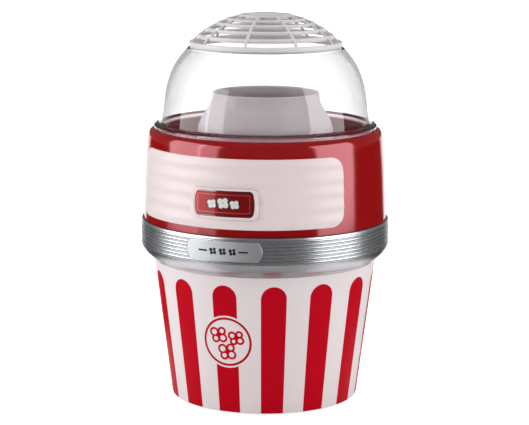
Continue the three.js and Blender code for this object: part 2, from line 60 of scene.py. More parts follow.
def node_box(node):
    """A CAD node's lowest and highest corners, in millimetres."""
    low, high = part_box(node)
    return low / MM, high / MM


# ---- driving dimensions, from the frame ----
BUCKET_LOW, BUCKET_HIGH = node_box("base_bucket")
BUCKET_BOTTOM = BUCKET_LOW.z
BUCKET_TOP = BUCKET_HIGH.z
BUCKET_TOP_RADIUS = BUCKET_HIGH.x
BUCKET_TAPER = 17.2
BUCKET_BOTTOM_RADIUS = BUCKET_TOP_RADIUS - BUCKET_TAPER
BUCKET_SLOPE = BUCKET_TAPER / (BUCKET_TOP - BUCKET_BOTTOM)
BUCKET_WALL = 3.0

BAND_LOW, BAND_HIGH = node_box("trim_band")
BAND_RADIUS = BAND_HIGH.x
BAND_RIBS = 7
RIB_DEPTH = 1.6
RIB_POWER = 3  # the higher, the narrower the grooves between the ribs
RIB_STEPS = 16
RIBS_LOW = BAND_LOW.z + 13.9
RIBS_HIGH = BAND_HIGH.z - 1.8

_, BOWL_HIGH = node_box("bowl_shell")
BOWL_FOOT = BAND_HIGH.z + 0.4  # a gap above the band
BOWL_RIM = BOWL_HIGH.z
BOWL_FOOT_RADIUS = BOWL_HIGH.x

CHIMNEY_LOW, CHIMNEY_HIGH = node_box("chimney")
DOME_LOW, DOME_HIGH = node_box("dome_cover")
GRILLE_LOW, GRILLE_HIGH = node_box("vent_grille")
DECK_LOW, DECK_HIGH = node_box("top_deck")


# ---- profiles and curves ----
def smooth_curve(points, steps):
    """A Catmull-Rom curve through 2D points, as steps + 1 points."""
    count = len(points) - 1
    result = []
    for i in range(steps + 1):
        place = i / steps * count
        k = min(int(place), count - 1)
        t = place - k
        before, after = points[max(k - 1, 0)], points[min(k + 2, count)]
        point = []
        for a, b, c, d in zip(before, points[k], points[k + 1], after):
            v0 = (c - a) * 0.5
            v1 = (d - b) * 0.5
            cubic = (2 * b - 2 * c + v0 + v1) * t**3
            square = (-3 * b + 3 * c - 2 * v0 - v1) * t**2
            point.append(cubic + square + v0 * t + b)
        result.append(tuple(point))
    return result


def rounded(corners):
    """A closed outline of (x, y) points, with each (x, y, radius) corner rounded to its radius."""
    outline = []
    for i, corner in enumerate(corners):
        here = Vector(corner[:2])
        radius = corner[2] if len(corner) == 3 else 0
        if radius <= 0:
            outline.append(corner[:2])
            continue
        before = (Vector(corners[i - 1][:2]) - here).normalized()
        after = (Vector(corners[(i + 1) % len(corners)][:2]) - here).normalized()
        half = before.angle(after) / 2
        reach = radius / math.tan(half)
        middle = here + (before + after).normalized() * radius / math.sin(half)
        start = here + before * reach - middle
        end = here + after * reach - middle
        turn = start.angle_signed(end)
        for k in range(CORNER_STEPS + 1):
            spun = Matrix.Rotation(-turn * k / CORNER_STEPS, 2) @ start
            outline.append(tuple(middle + spun))
    return outline


def spin(degrees, axis="Z"):
    """A turn, about Z unless another axis is named: the front goes round towards +X."""
    return Matrix.Rotation(math.radians(degrees), 4, axis)


def shift(x, y, z):
    return Matrix.Translation((x, y, z))


def cosine(degrees):
    return math.cos(math.radians(degrees))


def on_ring(radius, degrees, height=0):
    angle = math.radians(degrees)
    return Vector((radius * math.sin(angle), -radius * math.cos(angle), height))


# ---- mesh helpers ----
def new_object(name, data):
    """A new object in the scene for a mesh, a lamp or a camera."""
    obj = bpy.data.objects.new(name, data)
    scene.collection.objects.link(obj)
    return obj


def make_object(name, vertices, faces, sharp_degrees=SHARP):
    """A new mesh object from millimetre vertices, smooth except at sharp edges."""
    mesh = bpy.data.meshes.new(name)
    mesh.from_pydata([Vector(v) * MM for v in vertices], [], faces)
    obj = new_object(name, mesh)
    tidy_mesh(obj, sharp_degrees, turn_outward=True)
    return obj


def tidy_mesh(obj, sharp_degrees, turn_outward=False):
    """Merges doubles and marks the sharp edges; a single closed body can be turned outward too."""
    work = bmesh.new()
    work.from_mesh(obj.data)
    bmesh.ops.remove_doubles(work, verts=work.verts, dist=1e-6)
    bmesh.ops.dissolve_degenerate(work, edges=work.edges, dist=1e-7)
    if turn_outward:
        bmesh.ops.recalc_face_normals(work, faces=work.faces)
        if work.calc_volume(signed=True) < 0:
            bmesh.ops.reverse_faces(work, faces=work.faces)
    limit = math.radians(sharp_degrees)
    for face in work.faces:
        face.smooth = True
    for edge in work.edges:
        edge.smooth = len(edge.link_faces) == 2 and edge.calc_face_angle(0) < limit
    work.to_mesh(obj.data)
    work.free()


def turned(name, corners, sides=SIDES, sharp_degrees=SHARP):
    """A closed outline of (radius, height) points or rounded corners, turned about Z."""
    outline = rounded(corners)
    count = len(outline)
    vertices = []
    faces = []
    for i in range(sides):
        turn = i * 360 / sides
        vertices += [on_ring(max(radius, 0), turn, height) for radius, height in outline]
        j = (i + 1) % sides
        for k in range(count):
            m = (k + 1) % count
            if outline[k][0] <= 0 and outline[m][0] <= 0:
                continue
            faces.append((i * count + k, j * count + k, j * count + m, i * count + m))
    return make_object(name, vertices, faces, sharp_degrees)


def fall(radius, distance):
    """How far a rounded edge falls back, at a distance from its end."""
    if distance >= radius:
        return 0
    return radius - math.sqrt(max(radius**2 - (radius - distance) ** 2, 0))


def plate_on_wall(name, plate, wall_radius, columns=120, rows=60):
    """A curved plate that follows a round wall.

    Its ends bow out by bow degrees, corner is the radius of its corners, its outer edge is rounded
    by edge, and relief(height) lowers its face. inner and outer stand off the wall.
    """
    low, high = plate["low"], plate["high"]
    middle = (low + high) / 2
    tall = high - low
    mean_radius = wall_radius(middle)

    def spread(share):
        """Rows and columns crowd towards the ends, where the corners are."""
        return math.sin((share - 0.5) * math.pi) * 0.5 + 0.5

    def half_angle(height):
        from_end = min(height - low, high - height)
        bow = plate.get("bow", 0) * (1 - ((height - middle) / tall * 2) ** 2)
        return plate["half_angle"] + bow - math.degrees(fall(plate["corner"], from_end) / mean_radius)

    def outer_radius(height, across, half):
        to_side = math.radians(half - abs(across)) * mean_radius
        distance = max(min(height - low, high - height, to_side), 0)
        relief = plate["relief"](height) if "relief" in plate else 0
        return wall_radius(height) + plate["outer"] - fall(plate["edge"], distance) - relief

    vertices = []
    for side in ("outer", "inner"):
        for j in range(rows + 1):
            height = low + tall * spread(j / rows)
            half = half_angle(height)
            for i in range(columns + 1):
                across = half * (2 * spread(i / columns) - 1)
                radius = wall_radius(height) + plate["inner"]
                if side == "outer":
                    radius = outer_radius(height, across, half)
                vertices.append(on_ring(radius, across, height))
    width = columns + 1
    back = width * (rows + 1)
    faces = []
    for j in range(rows):
        for i in range(columns):
            a = j * width + i
            faces.append((a, a + 1, a + 1 + width, a + width))
            faces.append((back + a, back + a + width, back + a + 1 + width, back + a + 1))
    border = list(range(width))
    border += [j * width + columns for j in range(1, rows + 1)]
    border += [rows * width + i for i in range(columns - 1, -1, -1)]
    border += [j * width for j in range(rows - 1, 0, -1)]
    for a, b in zip(border, border[1:] + border[:1]):
        faces.append((a, back + a, back + b, b))
    return make_object(name, vertices, faces)


def plate_of(node, **settings):
    """A plate between the lowest and highest point of a CAD node."""
    low, high = node_box(node)
    return dict(settings, low=low.z, high=high.z)


def resized(plate, spread, **changes):
    """The same plate with its outline moved out by spread millimetres, and other changes."""
    new = dict(plate, low=plate["low"] - spread, high=plate["high"] + spread)
    new["half_angle"] += math.degrees(spread / BAND_RADIUS)
    new["corner"] = max(plate["corner"] + spread, 0)
    return dict(new, **changes)


def block(name, width, depth, height, centre=(0, 0, 0), bevel=0.0):
    """A box with rounded edges."""
    work = bmesh.new()
    bmesh.ops.create_cube(work, size=1, matrix=Matrix.Diagonal((width, depth, height, 1)))
    if bevel:
        edges = work.edges
        bmesh.ops.bevel(work, geom=edges, offset=bevel, segments=3, profile=0.5, affect="EDGES")
    vertices = [v.co + Vector(centre) for v in work.verts]
    faces = [[v.index for v in f.verts] for f in work.faces]
    work.free()
    return make_object(name, vertices, faces)


def rod(name, radius, low, high):
    """A plain round rod along Z."""
    return turned(name, [(0, low), (radius, low), (radius, high), (0, high)], ROD_SIDES)


def loft(name, sections):
    """A closed body through sections of equally many points."""
    count = len(sections[0])
    last = count * (len(sections) - 1)
    faces = [list(range(count)), list(range(last + count - 1, last - 1, -1))]
    for start in range(0, last, count):
        for k in range(count):
            a, b = start + k, start + (k + 1) % count
            faces.append((a, b, b + count, a + count))
    return make_object(name, sum(sections, []), faces)


def moved(obj, matrix):
    """Moves a piece by changing its mesh, in millimetres."""
    scaled = matrix.copy()
    scaled.translation = scaled.translation * MM
    obj.data.transform(scaled)
    return obj


def joined(name, objects):
    """One object that holds the meshes of several."""
    work = bmesh.new()
    for obj in objects:
        work.from_mesh(obj.data)
    mesh = bpy.data.meshes.new(name)
    work.to_mesh(mesh)
    work.free()
    for obj in objects:
        bpy.data.objects.remove(obj)
    return new_object(name, mesh)


def carve(obj, cutters, operation="DIFFERENCE", sharp_degrees=SHARP):
    """Cuts the cutters out of obj, or joins them to it, and keeps the result in its mesh."""
    tool = joined("cutter", cutters)
    modifier = obj.modifiers.new("carve", "BOOLEAN")
    modifier.object = tool
    modifier.operation = operation
    modifier.solver = "MANIFOLD"
    graph = bpy.context.evaluated_depsgraph_get()
    result = bpy.data.meshes.new_from_object(obj.evaluated_get(graph))
    obj.modifiers.clear()
    obj.data = result
    bpy.data.objects.remove(tool)
    tidy_mesh(obj, sharp_degrees)


def finish_piece(obj, body, material, slot, *nodes):
    """Gives a piece its material and body, and hides the CAD nodes that it stands for; slot is not
    used.
    """
    obj.data.materials.clear()
    obj.data.materials.append(material)
    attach(obj, body)
    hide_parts(*nodes)


def bucket_radius(height):
    return BUCKET_BOTTOM_RADIUS + (height - BUCKET_BOTTOM) * BUCKET_SLOPE


def wall_frame(degrees, height):
    """A matrix whose Y axis points straight out of the bucket's wall at that angle and height."""
    tilt = spin(-math.degrees(math.atan(BUCKET_SLOPE)), "X")
    return spin(degrees - 180) @ shift(0, bucket_radius(height), height) @ tilt


# ---- materials ----
class Nodes:
    """A node tree built by small calls that return sockets."""

    def __init__(self, tree):
        self.tree = tree

    def node(self, kind, **settings):
        made = self.tree.nodes.new("ShaderNode" + kind)
        for key, value in settings.items():
            setattr(made, key, value)
        return made

    def link(self, source, target):
        self.tree.links.new(source, target)

    def put(self, socket, value):
        """Links a socket, or sets a plain value on it."""
        if isinstance(value, bpy.types.NodeSocket):
            self.link(value, socket)
        else:
            socket.default_value = value

    def fill(self, node, **values):
        """Puts values on a node's inputs, named with underscores."""
        for key, value in values.items():
            self.put(node.inputs[key.replace("_", " ")], value)

    def math(self, operation, a, b=None, clamp=False):
        made = self.node("Math", operation=operation, use_clamp=clamp)
        self.put(made.inputs[0], a)
        if b is not None:
            self.put(made.inputs[1], b)
        return made.outputs[0]

    def plus(self, a, b):
        return self.math("ADD", a, b)

    def minus(self, a, b):
        return self.math("SUBTRACT", a, b)

    def times(self, a, b):
        return self.math("MULTIPLY", a, b)

    def absolute(self, a):
        return self.math("ABSOLUTE", a)

    def largest(self, first, *others):
        for other in others:
            first = self.math("MAXIMUM", first, other)
        return first

    def smallest(self, first, *others):
        for other in others:
            first = self.math("MINIMUM", first, other)
        return first

    def length(self, x, y):
        """How far the point (x, y) is from the origin."""
        return self.math("SQRT", self.plus(self.times(x, x), self.times(y, y)))

    def step(self, value, low, high):
        """0 before low, 1 past high, smooth between; high may be under low."""
        made = self.node("MapRange", interpolation_type="SMOOTHSTEP")
        self.fill(made, Value=value, From_Min=low, From_Max=high)
        return made.outputs["Result"]

    def between(self, share, low, high):
        """Maps 0..1 to low..high."""
        made = self.node("MapRange")
        self.fill(made, Value=share, To_Min=low, To_Max=high)
        return made.outputs["Result"]

    def mirrored(self, ahead, open_back):
        """1 for what is seen in gloss, and 0 straight on or through clear walls.

        ahead is the cosine of the angle from straight behind the object. Light that leaves a clear
        wall within WALL_EDGE of that counts as 0 too, and so does light that never met one and goes
        within BACK_EDGE, if open_back is 1.
        """
        path = self.node("LightPath")
        depth = path.outputs["Transmission Depth"]
        glossy = self.smallest(path.outputs["Glossy Depth"], 1.0)
        no_wall = self.math("LESS_THAN", depth, 0.5)
        two_walls = self.math("GREATER_THAN", depth, 2.5)
        one_wall = self.minus(self.minus(1.0, no_wall), two_walls)
        near_back = self.step(ahead, cosine(WALL_EDGE), cosine(WALL_EDGE - WALL_FADE))
        at_back = self.step(ahead, cosine(BACK_EDGE), cosine(BACK_EDGE - BACK_FADE))
        past = self.times(self.times(no_wall, open_back), at_back)
        seen = self.largest(self.times(one_wall, near_back), past, self.times(two_walls, DEEP_GLOSS))
        return self.times(glossy, self.minus(1.0, seen))

    def scattered(self):
        """1 for the light that has already bounced off a matt surface."""
        path = self.node("LightPath")
        return self.smallest(path.outputs["Diffuse Depth"], 1.0)


class Shader(Nodes):
    """A node material with one Principled shader."""

    def __init__(self, name, **values):
        self.material = bpy.data.materials.new(name)
        self.material.use_nodes = True
        super().__init__(self.material.node_tree)
        self.principled = self.tree.nodes["Principled BSDF"]
        self.coordinates = None
        self.set(**values)

    def set(self, **values):
        self.fill(self.principled, **values)

    def mix(self, share, first, second):
        made = self.node("Mix", data_type="RGBA")
        self.put(made.inputs["Factor"], share)
        ends = [socket for socket in made.inputs if socket.type == "RGBA"]
        self.put(ends[0], first)
        self.put(ends[1], second)
        return next(socket for socket in made.outputs if socket.type == "RGBA")

    def place(self):
        """The piece's own coordinates, in millimetres."""
        if self.coordinates is None:
            texture = self.node("TexCoord")
            scaled = self.node("VectorMath", operation="SCALE")
            self.fill(scaled, Vector=texture.outputs["Object"], Scale=1 / MM)
            self.coordinates = scaled.outputs["Vector"]
        return self.coordinates

    def axes(self):
        split = self.node("SeparateXYZ")
        self.link(self.place(), split.inputs[0])
        return tuple(split.outputs)

    def angle(self):
        """The angle round the body from the front, in radians."""
        x, y, _ = self.axes()
        return self.math("ARCTAN2", x, self.times(y, -1.0))

    def round_wall(self, along, up, radius=100.0):
        """A vector of arc length, height and radius, scaled, for patterns that run round the body."""
        x, y, z = self.axes()
        out = self.length(x, y)
        join = self.node("CombineXYZ")
        arc = self.times(self.angle(), radius * along)
        self.fill(join, X=arc, Y=self.times(z, up), Z=self.times(out, up))
        return join.outputs[0]

    def noise(self, scale, detail, roughness=0.5, vector=None):
        """Noise whose features are about 1 / scale millimetres across."""
        made = self.node("TexNoise")
        vector = vector or self.place()
        self.fill(made, Vector=vector, Scale=scale, Detail=detail, Roughness=roughness)
        return made.outputs["Fac"]

    def colour(self, share, first, second):
        self.set(Base_Color=self.mix(share, first, second))

    def roughness(self, share, low, high):
        self.set(Roughness=self.between(share, low, high))

    def bump(self, height, strength, distance):
        made = self.node("Bump")
        self.fill(made, Strength=strength, Distance=distance * MM, Height=height)
        self.set(Normal=made.outputs["Normal"])


# colour, roughness, grain, its depth, variation, and other values of the plastics
PLASTICS = {
    "red_gloss": (
        (0.27, 0.0006, 0.0012), 0.12, 0.25, 0.01, 0.1,
        dict(IOR=1.7, Specular_IOR_Level=1.0, Specular_Tint=(1.0, 0.48, 0.54, 1)),
    ),
    "cream_satin": (
        (0.74, 0.635, 0.635), 0.36, 1.8, 0.015, 0.03, dict(Coat_Weight=0.15, Coat_Roughness=0.2),
    ),
    "chimney_grey": ((0.74, 0.66, 0.685), 0.3, 1.5, 0.01, 0.04, dict(Specular_IOR_Level=1.0)),
    "grey_satin": ((0.69, 0.665, 0.67), 0.42, 1.5, 0.02, 0.04, {}),
    "white_textured": ((0.62, 0.60, 0.59), 0.5, 2.0, 0.03, 0.04, {}),
    "black_textured": ((0.022, 0.022, 0.024), 0.5, 2.0, 0.05, 0.2, {}),
    "rubber": ((0.018, 0.018, 0.018), 0.75, 1.0, 0.06, 0.25, {}),
    "rocker_red": ((0.30, 0.003, 0.004), 0.25, 0.8, 0.01, 0.04, {}),
    "phenolic_board": ((0.22, 0.12, 0.035), 0.55, 1.0, 0.03, 0.2, {}),
}


def plastic(name):
    """Moulded plastic: faint flow mottling, a fine grain and an uneven polish."""
    colour, roughness, grain, depth, variation, others = PLASTICS[name]
    s = Shader(name, **others)
    dark = [part * (1 - variation) for part in colour]
    s.colour(s.noise(0.03, 4.0), (*dark, 1), (*colour, 1))
    s.roughness(s.noise(0.12, 5.0), roughness * 0.85, roughness * 1.2)
    s.bump(s.noise(grain, 2.0), 0.5, depth)
    return s.material


# scale and detail of the mottle, its two colours, and the same for the roughness
METALS = {
    "dark_chrome": ((0.2, 4.0), (0.34, 0.33, 0.34, 1), (0.46, 0.45, 0.46, 1), (0.3, 5.0), 0.05, 0.12),
    "bright_steel": ((0.6, 4.0), (0.45, 0.45, 0.44, 1), (0.60, 0.60, 0.58, 1), (1.2, 4.0), 0.22, 0.38),
    "coil_wire": ((0.4, 5.0), (0.20, 0.17, 0.15, 1), (0.42, 0.38, 0.36, 1), (0.9, 4.0), 0.4, 0.6),
}


def metal(name):
    mottle, dark, light, polish, low, high = METALS[name]
    s = Shader(name, Metallic=1.0)
    s.colour(s.noise(*mottle), dark, light)
    s.roughness(s.noise(*polish), low, high)
    return s.material


def kernel_distance(s, across, up, centre, size):
    """Signed distance to a popped kernel: four round lobes of slightly different sizes."""
    lobes = ((-0.55, 0.3, 0.62), (0.5, 0.5, 0.55), (0.6, -0.4, 0.6), (-0.35, -0.55, 0.55))
    distances = []
    for x, y, radius in lobes:
        dx = s.minus(across, centre[0] + x * size)
        dy = s.minus(up, centre[1] + y * size)
        distances.append(s.minus(s.length(dx, dy), radius * size))
    return s.smallest(*distances)


STRIPES = 14
STRIPE_TURN = -2.0  # degrees that the nearest stripe sits off the front
STRIPE_HALF = 6.6  # degrees
STRIPE_TOP = 128.2
BADGE_HEIGHT = 73.0
BADGE_TURN = -1.6  # degrees that the badge sits off the front
BADGE_RING = 22.8
BADGE_LINE = 1.15  # half width of its ring
BADGE_EDGE = 25.6
PRINT_EDGE = 0.12


def bucket_print():
    """White plastic with printed red stripes and a round badge with popped kernels."""
    s = Shader("bucket_print")
    _, _, z = s.axes()
    angle = s.angle()
    radius = s.plus(s.times(z, BUCKET_SLOPE), bucket_radius(0))
    pitch = 2 * math.pi / STRIPES
    turned_angle = s.minus(angle, math.radians(STRIPE_TURN))
    share = s.math("DIVIDE", turned_angle, pitch)
    off_centre = s.minus(share, s.math("ROUND", share))
    side = s.times(s.times(s.absolute(off_centre), pitch), radius)
    half_width = s.times(radius, math.radians(STRIPE_HALF))
    top_radius = bucket_radius(STRIPE_TOP) * math.radians(STRIPE_HALF)
    above = s.largest(s.minus(z, STRIPE_TOP - top_radius), 0.0)
    outside = s.minus(s.length(side, above), half_width)
    stripe = s.step(outside, PRINT_EDGE, -PRINT_EDGE)

    across = s.times(s.minus(angle, math.radians(BADGE_TURN)), radius)
    up = s.minus(z, BADGE_HEIGHT)
    from_centre = s.length(across, up)
    badge = s.step(from_centre, BADGE_EDGE + PRINT_EDGE, BADGE_EDGE - PRINT_EDGE)
    from_ring = s.absolute(s.minus(from_centre, BADGE_RING))
    lines = s.step(from_ring, BADGE_LINE + PRINT_EDGE, BADGE_LINE - PRINT_EDGE)
    for centre, size in (((-8.5, 6.5), 7.4), ((9.0, 4.5), 6.6), ((-0.5, -9.5), 7.6)):
        distance = kernel_distance(s, across, up, centre, size)
        rim = s.absolute(s.plus(distance, 0.9))
        lines = s.largest(lines, s.step(rim, 1.15, 0.95))
        from_seed = s.length(s.minus(across, centre[0]), s.minus(up, centre[1]))
        lines = s.largest(lines, s.step(from_seed, 2.1, 1.8))
    not_badge = s.minus(1.0, badge)
    red_share = s.math("ADD", s.times(stripe, not_badge), s.times(lines, badge), clamp=True)

    mottle = s.noise(0.02, 3.0)
    white = s.mix(mottle, (0.68, 0.615, 0.625, 1), (0.73, 0.665, 0.675, 1))
    red = s.mix(mottle, (0.42, 0.001, 0.009, 1), (0.48, 0.0015, 0.012, 1))
    s.colour(red_share, white, red)
    s.roughness(s.noise(0.15, 5.0), 0.3, 0.4)
    s.bump(s.plus(s.times(s.noise(0.08, 2.0), 0.5), red_share), 0.2, 0.02)
    s.set(Specular_IOR_Level=0.03)
    return s.material


PAINTED_PINK_TOP = 266.5  # height up to which the clear dome's foot is painted pink, a painted reflection of the red bowl


def clear_shell():
    """Clear polished plastic that lets the lamps' light through; its foot in the red bowl is painted
    pink, a painted reflection of the red bowl in the clear plastic.
    """
    s = Shader("clear_shell")
    _, _, z = s.axes()
    # painted reflection: below this height the clear plastic's colour is painted pink, standing in for
    # the red bowl seen through it
    above_painted_pink = s.step(z, PAINTED_PINK_TOP - 1.0, PAINTED_PINK_TOP)
    s.colour(above_painted_pink, (0.89, 0.64, 0.70, 1), (0.97, 0.97, 0.98, 1))
    s.set(Transmission_Weight=1.0, IOR=1.7)
    s.roughness(s.noise(0.02, 4.0), 0.0, 0.03)
    lets_lamps = s.node("MixShader")
    path = s.node("LightPath")
    through = s.node("BsdfTransparent")
    through.inputs["Color"].default_value = (0.93, 0.93, 0.94, 1)
    s.link(path.outputs["Is Shadow Ray"], lets_lamps.inputs[0])
    s.link(s.principled.outputs[0], lets_lamps.inputs[1])
    s.link(through.outputs[0], lets_lamps.inputs[2])
    s.link(lets_lamps.outputs[0], s.tree.nodes["Material Output"].inputs["Surface"])
    return s.material


def satin_silver():
    """Satin metal with faint marks that run round the band."""
    s = Shader("satin_silver", Metallic=1.0)
    streaks = s.noise(1.0, 3.0, 0.5, s.round_wall(along=0.02, up=1.2))
    s.colour(streaks, (0.74, 0.75, 0.775, 1), (0.80, 0.81, 0.835, 1))
    s.roughness(streaks, 0.24, 0.3)
    return s.material


def plaque_silver():
    """Smooth satin metal with three small popped kernels between two dark lines."""
    s = Shader("plaque_silver")
    _, _, z = s.axes()
    across = s.times(s.angle(), BAND_RADIUS)
    up = s.minus(z, PLAQUE_MIDDLE)
    kernels = [kernel_distance(s, across, up, (centre, 0), 3.3) for centre in (-9.5, 0.0, 9.5)]
    popped = s.step(s.plus(s.smallest(*kernels), 0.3), 0.15, -0.15)
    beside = s.absolute(across)
    long_enough = s.times(s.step(beside, 15.2, 15.6), s.step(beside, 24.4, 24.0))
    thin = s.step(s.absolute(up), 0.95, 0.75)
    mark = s.largest(popped, s.times(long_enough, thin))
    streaks = s.noise(1.0, 4.0, 0.6, s.round_wall(along=0.03, up=3.0))
    silver = s.mix(streaks, (0.86, 0.87, 0.89, 1), (0.93, 0.94, 0.96, 1))
    s.colour(mark, silver, (0.012, 0.012, 0.016, 1))
    s.set(Metallic=s.minus(1.0, mark))
    s.roughness(streaks, 0.5, 0.56)
    return s.material


def badge_red():
    """Brushed metal under a clear red lacquer, with a thin light border and three popped kernels."""
    s = Shader("badge_red")
    _, _, z = s.axes()
    across = s.times(s.angle(), BADGE_WALL)
    up = s.minus(z, INSERT_MIDDLE)
    side = s.minus(s.absolute(across), INSERT_HALF_WIDTH - 3.2)
    level = s.minus(s.absolute(up), INSERT_HALF_HEIGHT - 2.6)
    border = s.absolute(s.largest(side, level))
    line = s.step(border, 0.28, 0.14)
    places = (((-11.0, -0.4), 3.7), ((0.0, 0.6), 4.6), ((11.0, -0.4), 3.7))
    kernel = s.smallest(*[kernel_distance(s, across, up, *place) for place in places])
    white = s.step(kernel, 0.05, -0.1)
    dark = s.step(kernel, 1.0, 0.8)
    brushed = s.noise(1.0, 4.0, 0.65, s.round_wall(along=0.02, up=3.0))
    red = s.mix(brushed, (0.20, 0.001, 0.003, 1), (0.46, 0.004, 0.008, 1))
    red = s.mix(s.times(line, 0.7), red, (0.62, 0.30, 0.30, 1))
    red = s.mix(dark, red, (0.02, 0.004, 0.006, 1))
    s.colour(white, red, (0.62, 0.63, 0.62, 1))
    s.set(Metallic=s.times(s.minus(1.0, dark), 0.6))
    s.roughness(brushed, 0.25, 0.4)
    s.set(Coat_Weight=0.6, Coat_Roughness=0.06)
    s.bump(brushed, 0.2, 0.02)
    return s.material


def drawn_aluminium():
    """Drawn aluminium with turning marks that run round the cup."""
    s = Shader("drawn_aluminium", Metallic=1.0)
    marks = s.noise(1.0, 5.0, 0.6, s.round_wall(along=0.02, up=3.0, radius=46.0))
    s.colour(marks, (0.55, 0.55, 0.56, 1), (0.78, 0.78, 0.79, 1))
    s.roughness(marks, 0.28, 0.42)
    s.bump(marks, 0.3, 0.03)
    return s.material


def galvanised():
    """Zinc-coated sheet with its crystal spangle."""
    s = Shader("galvanised", Metallic=1.0)
    cells = s.node("TexVoronoi")
    s.fill(cells, Vector=s.place(), Scale=0.18)
    grey = s.node("RGBToBW")
    s.link(cells.outputs["Color"], grey.inputs[0])
    s.colour(grey.outputs[0], (0.38, 0.39, 0.40, 1), (0.56, 0.57, 0.58, 1))
    s.roughness(grey.outputs[0], 0.32, 0.5)
    s.bump(s.noise(0.6, 4.0), 0.2, 0.03)
    return s.material


def mica_sheet():
    s = Shader("mica_sheet")
    flakes = s.noise(0.35, 6.0, 0.7)
    s.colour(flakes, (0.34, 0.25, 0.13, 1), (0.52, 0.44, 0.30, 1))
    s.roughness(flakes, 0.35, 0.6)
    s.bump(flakes, 0.4, 0.08)
    return s.material


# ---- camera ----
CAMERA_AZIMUTH = 19.0
CAMERA_ELEVATION = 10.25
CAMERA_DISTANCE = 1850.0
CAMERA_TARGET_HEIGHT = 179.0
CAMERA_SIDE = -0.5  # the object stands half a millimetre off the picture's middle
CAMERA_LENS = 129.57
CAMERA_ROLL = 0.27


def make_camera():
    turn = spin(CAMERA_AZIMUTH)
    tilt = math.radians(CAMERA_ELEVATION)
    back = turn @ Vector((0, -math.cos(tilt), math.sin(tilt)))
    target = turn @ Vector((CAMERA_SIDE, 0, CAMERA_TARGET_HEIGHT))
    camera = bpy.data.cameras.new("camera")
    camera.lens = CAMERA_LENS
    camera.sensor_width = 36.0
    camera.clip_end = 100.0
    holder = new_object("camera", camera)
    holder.location = (target + back * CAMERA_DISTANCE) * MM
    aim = (-back).to_track_quat("-Z", "Y").to_matrix()
    roll = Matrix.Rotation(math.radians(CAMERA_ROLL), 3, "Z")
    holder.rotation_euler = (aim @ roll).to_euler()
    scene.camera = holder


# ---- base ----
SWITCH_HEIGHT = 70.0
ROCKER_TILT = -8.0
INLET_ANGLE, INLET_HEIGHT = 158, 24.0
SCREW_RING, SCREW_COUNT = 78.5, 4
FOOT_RING, FOOT_COUNT = 66.0, 4
BRACKET_RING, BRACKET_SCREWS = 67.0, 3
AIR_SLOTS = 24


def make_bucket():
    bottom, top = BUCKET_BOTTOM, BUCKET_TOP
    outline = [
        (BUCKET_BOTTOM_RADIUS - BUCKET_WALL, bottom, 0.6), (BUCKET_BOTTOM_RADIUS, bottom, 1.4),
        (BUCKET_TOP_RADIUS, top, 0.5), (BUCKET_TOP_RADIUS - BUCKET_WALL, top, 0.5),
    ]
    shell = turned("bucket", outline)
    bosses = []
    for i in range(SCREW_COUNT):
        turn = spin(i * 360 / SCREW_COUNT)
        boss = moved(rod("boss", 4, 6.5, 28), turn @ shift(0, -SCREW_RING, 0))
        rib = block("rib", 2.4, 8, 21.5, (0, -84.0, 17.2))
        bosses += [boss, moved(rib, turn)]
    switch_hole = block("hole", 20.8, 14, 28.8)
    inlet_hole = rod("hole", 5.6, -7, 7)
    moved(switch_hole, wall_frame(180, SWITCH_HEIGHT))
    moved(inlet_hole, wall_frame(INLET_ANGLE, INLET_HEIGHT) @ spin(90, "X"))
    carve(shell, [switch_hole, inlet_hole])
    bucket = joined("bucket", [shell] + bosses)
    finish_piece(bucket, "base", bucket_print(), "bucket_plastic", "base_bucket")


PLAQUE = plate_of(
    "band_plaque", half_angle=16.0, bow=2.0, corner=1.2, inner=-1.4, outer=-0.05, edge=0.5
)
PLAQUE_MIDDLE = (PLAQUE["low"] + PLAQUE["high"]) / 2


def rib_radius(height):
    """The ribbed face: each rib is a full round hump between narrow grooves."""
    pitch = (RIBS_HIGH - RIBS_LOW) / BAND_RIBS
    share = ((height - RIBS_LOW) / pitch) % 1.0
    return BAND_RADIUS - RIB_DEPTH * abs(2 * share - 1) ** RIB_POWER


def make_band():
    bottom, top = BAND_LOW.z, BAND_HIGH.z
    cove = smooth_curve(
        [(108.2, bottom), (110.3, 139.4), (113.6, 142.2), (117.2, 146.2), (119.2, 149.8),
         (119.8, RIBS_LOW)],
        24,
    )
    steps = BAND_RIBS * RIB_STEPS
    ribs = []
    for k in range(1, steps):
        height = RIBS_LOW + (RIBS_HIGH - RIBS_LOW) * k / steps
        ribs.append((rib_radius(height), height))
    deck_seat = DECK_HIGH.x + 0.5
    rest = [
        (BAND_RADIUS - 0.2, RIBS_HIGH, 0), (BAND_RADIUS - 0.9, top, 0.8), (deck_seat, top, 0.6),
        (deck_seat, DECK_LOW.z - 0.3, 0.3), (105.5, DECK_LOW.z - 0.3, 0.3),
        (105.5, DECK_LOW.z - 3.3, 0.3), (115.4, 165, 0), (115.4, 150.5, 0),
        (104.8, bottom + 3.5, 0), (104.8, bottom, 0),
    ]
    band = turned("trim_band_fine", cove + ribs + rest, sharp_degrees=BAND_SHARP)
    pocket = resized(PLAQUE, 0.5, inner=-1.7, outer=1.0, edge=0.0)
    cutter = plate_on_wall("pocket", pocket, lambda height: BAND_RADIUS, 40, 40)
    carve(band, [cutter], sharp_degrees=BAND_SHARP)
    finish_piece(band, "base", satin_silver(), "satin_silver", "trim_band")


def make_plaque():
    plate = plate_on_wall("plaque", PLAQUE, lambda height: BAND_RADIUS)
    finish_piece(plate, "base", plaque_silver(), "satin_silver", "band_plaque")


def make_deck():
    """The plate under the bowl, with a raised ring round the chamber's mouth."""
    low, high = DECK_LOW.z, DECK_HIGH.z
    outer = DECK_HIGH.x
    outline = [
        (48.2, low, 0.4), (outer, low, 0.4), (outer, high, 0.5), (97.0, high, 0.4),
        (96.4, high - 0.7, 0.3), (66.0, high - 0.7, 0.3), (65.4, high, 0.4), (48.2, high, 0.4),
    ]
    finish_piece(turned("deck", outline), "base", plastic("white_textured"), "deck_plastic", "top_deck")


